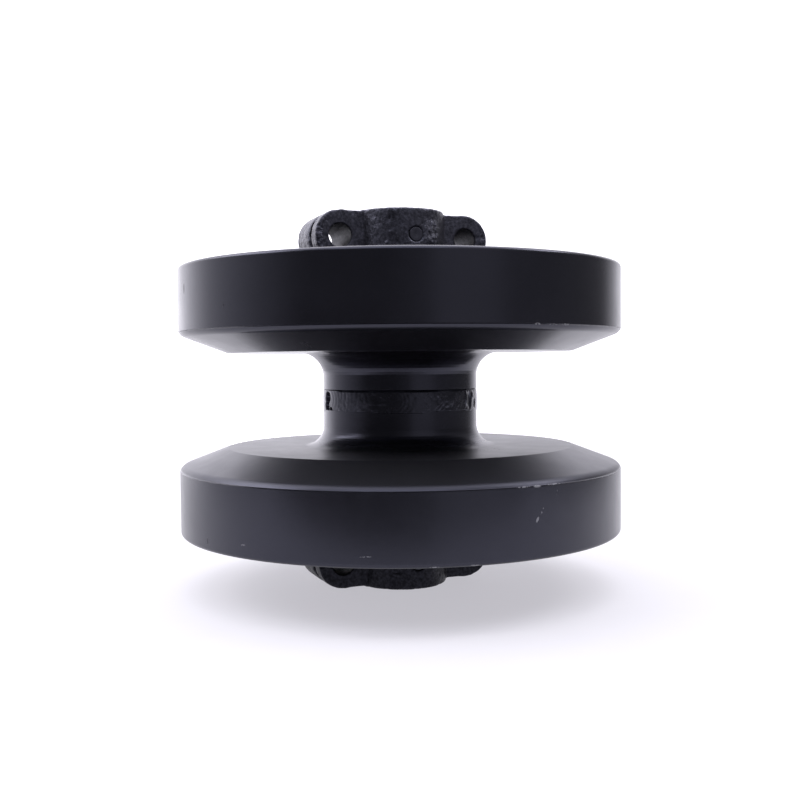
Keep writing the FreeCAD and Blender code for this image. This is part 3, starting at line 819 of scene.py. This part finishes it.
def make_shells():
    """Two half shells. The lower one's hub is turned nearer to the flange, and its flange's forged faces,
    which turn up to the lights, are painted lighter, as dust and as painted light.
    """
    segments = 288
    outline = shell_outline(turned_to=14.2, hub_fillet=14.0)
    points, faces = lathe(outline, segments, hub_shape(seed=3))
    paint = shell_paint("upper_shell_paint", UPPER_MARKS, UPPER_STAINS, dust_and_light=0.1)
    make_piece("upper_shell_body", points, faces, "roller", paint, "upper_shell")

    outline = shell_outline(turned_to=16.2, hub_fillet=12.0)
    points, faces = lathe(outline, segments, hub_shape(seed=4))
    paint = shell_paint("lower_shell_paint", LOWER_MARKS, LOWER_STAINS, dust_and_light=1.0)
    points = half_turned(points)
    make_piece("lower_shell_body", points, faces, "roller", paint, "lower_shell")


def weld_shape(angles, across, up):
    """Faint ripples, lumps and a ragged groove along the edges, with a crater where the bead starts."""
    place = hub_places(angles, up)
    ripple_length = 2.9
    bowed = angles * HUB_RADIUS + 0.08 * up ** 2 + 2.0 * value_noise(place, 6.0, 11)
    ripple = 0.5 + 0.5 * np.cos(bowed * 2 * math.pi / ripple_length)
    rough = 0.5 + 0.5 * value_noise(place, 1.4, 12)
    lumps = 0.5 + 0.5 * value_noise(place, 3.6, 13)
    patchy = smooth_step(value_noise(place, 9.0, 14), -0.3, 0.5)

    from_edge = np.minimum(WELD_TOP_EDGE - up, up - WELD_LOW_EDGE)
    inner = smooth_step(from_edge, 0.1, 0.8)
    edge_groove = 1 - smooth_step(from_edge, 0.2, 0.9)
    sunk = inner * (0.05 * ripple + 0.17 * patchy * rough ** 2 + 0.15 * patchy * lumps)
    sunk = sunk + 0.75 * edge_groove * patchy
    for flaw in WELD_FLAWS:
        turn_away = (angles - turn_from_view(flaw.turn) + math.pi) % (2 * math.pi) - math.pi
        around = turn_away / math.radians(flaw.half_turn)
        away = around ** 2 + ((up - flaw.height) / flaw.half_height) ** 2
        sunk = sunk + flaw.depth * np.exp(-away ** 2)
    outside = smooth_step(across, WELD_ROOT_RADIUS + 4, HUB_RADIUS - 1)
    return across - outside * sunk, up


def make_weld():
    """The bead, laid a little low of the joint, so that it laps over the lower half."""
    crown_steps = 44
    crown_height = 0.16
    root_half_width = 2.0
    outline = [(WELD_ROOT_RADIUS, -root_half_width), (WELD_ROOT_RADIUS, root_half_width)]
    for step in range(crown_steps + 1):
        share = step / crown_steps
        up = WELD_TOP_EDGE + (WELD_LOW_EDGE - WELD_TOP_EDGE) * share
        outline.append((HUB_RADIUS + 0.03 + crown_height * math.sin(math.pi * share), up))
    points, faces = lathe(np.array(outline), segments=960, shape=weld_shape)
    faces = [face[::-1] for face in faces]
    make_piece("weld_seam", points, faces, "roller", weld_paint(), "weld_bead")


def make_collar(end, seed, tone):
    """Mesh the cast collar's field, then draw its points onto the true surface."""
    pitch = np.array([0.72, 0.66, 0.72])  # grid steps along X, Y and Z
    margin = 1.5
    low = np.array([-LUG_END, -COLLAR_FLANGE_RADIUS, COLLAR_NOSE_END]) - margin
    high = np.array([LUG_END, COLLAR_FLANGE_RADIUS, COLLAR_TOP]) + margin
    axes = [np.arange(low[axis], high[axis], pitch[axis]) for axis in (X, Y, Z)]
    grid = np.stack(np.meshgrid(*axes, indexing="ij"), axis=-1)
    points, faces = surface_net(collar_field(grid, seed), low, pitch)
    points = settle(points, lambda places: collar_field(places, seed))
    points[:, Z] = np.minimum(points[:, Z], COLLAR_TOP)
    if end == "lower":
        points = half_turned(points)
    paint = cast_paint(f"{end}_cast_paint", tone)
    name = f"{end}_collar"
    make_piece(f"{name}_casting", points, faces.tolist(), "axle", paint, name)


def make_pin(end, height, paint):
    """Dowel with rounded ends and a shallow turned dimple in each."""
    end_face = PIN_HALF_LENGTH - 0.05
    dimple_floor = PIN_HALF_LENGTH - 0.25
    dimple_radius = PIN_RADIUS - 1.6
    axis_radius = 0.02
    outline = rounded([
        (axis_radius, dimple_floor, 0),
        (dimple_radius, end_face, 0.6),
        (PIN_RADIUS, end_face, 0.45),
        (PIN_RADIUS, -end_face, 0.45),
        (dimple_radius, -end_face, 0.6),
        (axis_radius, -dimple_floor, 0),
    ], support=0.15)
    points, faces = lathe(outline, segments=64)
    lying = points[:, [X, Z, Y]] * (1, 1, -1) + (0, 0, height)
    make_piece(f"{end}_pin_dowel", lying, faces, "axle", paint, f"{end}_lock_pin")


def finish_cad_nodes():
    """Give each CAD node that stays in view its own metal or rubber."""
    bronze = machined_metal("bushing_bronze", (0.6, 0.38, 0.16), 0.2, 0.35)
    iron = machined_metal("seal_iron", (0.32, 0.32, 0.33), 0.1, 0.25)
    rubber = seal_rubber()
    materials_by_ending = {
        "shaft": machined_metal("shaft_steel", (0.42, 0.42, 0.43), 0.22, 0.38),
        "oil_plug": machined_metal("plug_steel", (0.3, 0.3, 0.31), 0.3, 0.45),
        "bushing": bronze,
        "seal_ring": iron,
        "toric": rubber,
        "o_ring": rubber,
    }
    for name, cad_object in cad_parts.items():
        for ending, material in materials_by_ending.items():
            if name.endswith(ending):
                cad_object.data.materials.clear()
                cad_object.data.materials.append(material)


# ---------------------------------------------------------------- floor, light and camera

def make_floor():
    """A sheet under the roller, and far enough behind it to fill the camera's view."""
    half_width, near_edge, far_edge = 0.62, -0.34, 1.0
    corners = [
        from_view(-half_width, near_edge, 0),
        from_view(half_width, near_edge, 0),
        from_view(half_width, far_edge, 0),
        from_view(-half_width, far_edge, 0),
    ]
    mesh = bpy.data.meshes.new("studio_floor")
    mesh.from_pydata([(corner.x, corner.y, FLOOR_HEIGHT) for corner in corners], [], [(0, 1, 2, 3)])
    mesh.materials.append(floor_material())
    floor = bpy.data.objects.new("studio_floor", mesh)
    bpy.context.scene.collection.objects.link(floor)


def make_surroundings():
    """A white cyclorama: full behind and on the left, weaker on the right, dark on the camera's side."""
    world = bpy.data.worlds.new("studio")
    bpy.context.scene.world = world
    world.use_nodes = True
    tree = world.node_tree
    direction = node(tree, "ShaderNodeTexCoord").outputs["Generated"]

    def share_towards(place):
        inputs = {0: direction, 1: place}
        return node(tree, "ShaderNodeVectorMath", inputs, operation="DOT_PRODUCT").outputs["Value"]

    ahead = share_towards(from_view(0, 1, 0))
    right = share_towards(from_view(1, 0, 0))
    up = share_towards((0, 0, 1))
    far_left = remap(tree, ahead, 0.35, 0.8, 0.0, 0.95)
    left_wall = plus(tree, remap(tree, ahead, -0.65, 0.5, 0.1, 1.25), far_left)
    right_wall = times(tree, remap(tree, ahead, 0.55, 0.88, 0.18, 1.5), remap(tree, up, 0.2, 0.4, 1.0, 1.6))
    on_right = rise(tree, right, -0.12, 0.12)
    walls = node(tree, "ShaderNodeMix", {0: on_right, 2: left_wall, 3: right_wall}).outputs[0]
    in_front = rise(tree, ahead, -0.4, -0.6)
    strip = times(tree, remap(tree, right, 0.24, 0.3, 0.0, 0.25), rise(tree, right, 0.85, 0.7), in_front)
    ceiling = times(tree, remap(tree, up, 0.5, 0.75, 0.0, 1.8), remap(tree, ahead, -0.35, 0.1, 0.45, 1.0))
    background = tree.nodes["Background"]
    background.inputs["Color"].default_value = STUDIO_WHITE
    tree.links.new(larger(tree, plus(tree, walls, strip), ceiling), background.inputs["Strength"])


def soft_light(name, place, size, radiance, colour):
    """A softbox that faces the roller's centre, as bright as radiance times white paper in full light."""
    data = bpy.data.lights.new(name, "AREA")
    data.shape = "RECTANGLE"
    data.size, data.size_y = size
    data.energy = radiance * math.pi * size[0] * size[1]
    data.color = colour[:3]
    light = bpy.data.objects.new(name, data)
    light.location = from_view(*place)
    light.rotation_euler = light.location.to_track_quat("Z", "Y").to_euler()
    bpy.context.scene.collection.objects.link(light)


def make_lights():
    """Four softboxes. Places and sizes are in metres."""
    soft_light("overhead_softbox", (0.0, 0.2, 1.9), (2.2, 2.2), 1.1, STUDIO_WHITE)
    soft_light("front_softbox", (-0.1, -1.15, 1.45), (1.6, 0.7), 1.5, FRONT_WHITE)
    soft_light("left_softbox", (-1.5, 0.0, 1.2), (1.5, 0.9), 4.0, STUDIO_WHITE)
    soft_light("right_softbox", (1.4, 0.1, 1.35), (0.8, 0.6), 4.5, STUDIO_WHITE)


def make_camera():
    """The photo's camera, a little above the roller's middle and looking slightly down."""
    data = bpy.data.cameras.new("view")
    data.lens = CAMERA_LENS
    data.sensor_width = 36.0
    camera = bpy.data.objects.new("view", data)
    upright = Matrix.Rotation(math.pi / 2 - CAMERA_PITCH, 4, "X")
    rolled = upright @ Matrix.Rotation(-CAMERA_ROLL, 4, "Z")
    turned = Matrix.Rotation(CAMERA_AZIMUTH, 4, "Z") @ rolled
    camera.matrix_world = Matrix.Translation(from_view(0, -CAMERA_DISTANCE, CAMERA_HEIGHT)) @ turned
    bpy.context.scene.collection.objects.link(camera)
    bpy.context.scene.camera = camera


dowel_paint = pin_paint()
make_shells()
make_weld()
make_collar("upper", seed=21, tone=1.0)
# The lower collar has the same paint as the upper one; its tone of 0.35 is painted shade for the shadow
# under the lower flange.
make_collar("lower", seed=41, tone=0.35)
make_pin("upper", BOLT_LINE, dowel_paint)
make_pin("lower", -BOLT_LINE, dowel_paint)
finish_cad_nodes()
make_floor()
make_surroundings()
make_lights()
bpy.context.scene.view_settings.view_transform = "Standard"
make_camera()
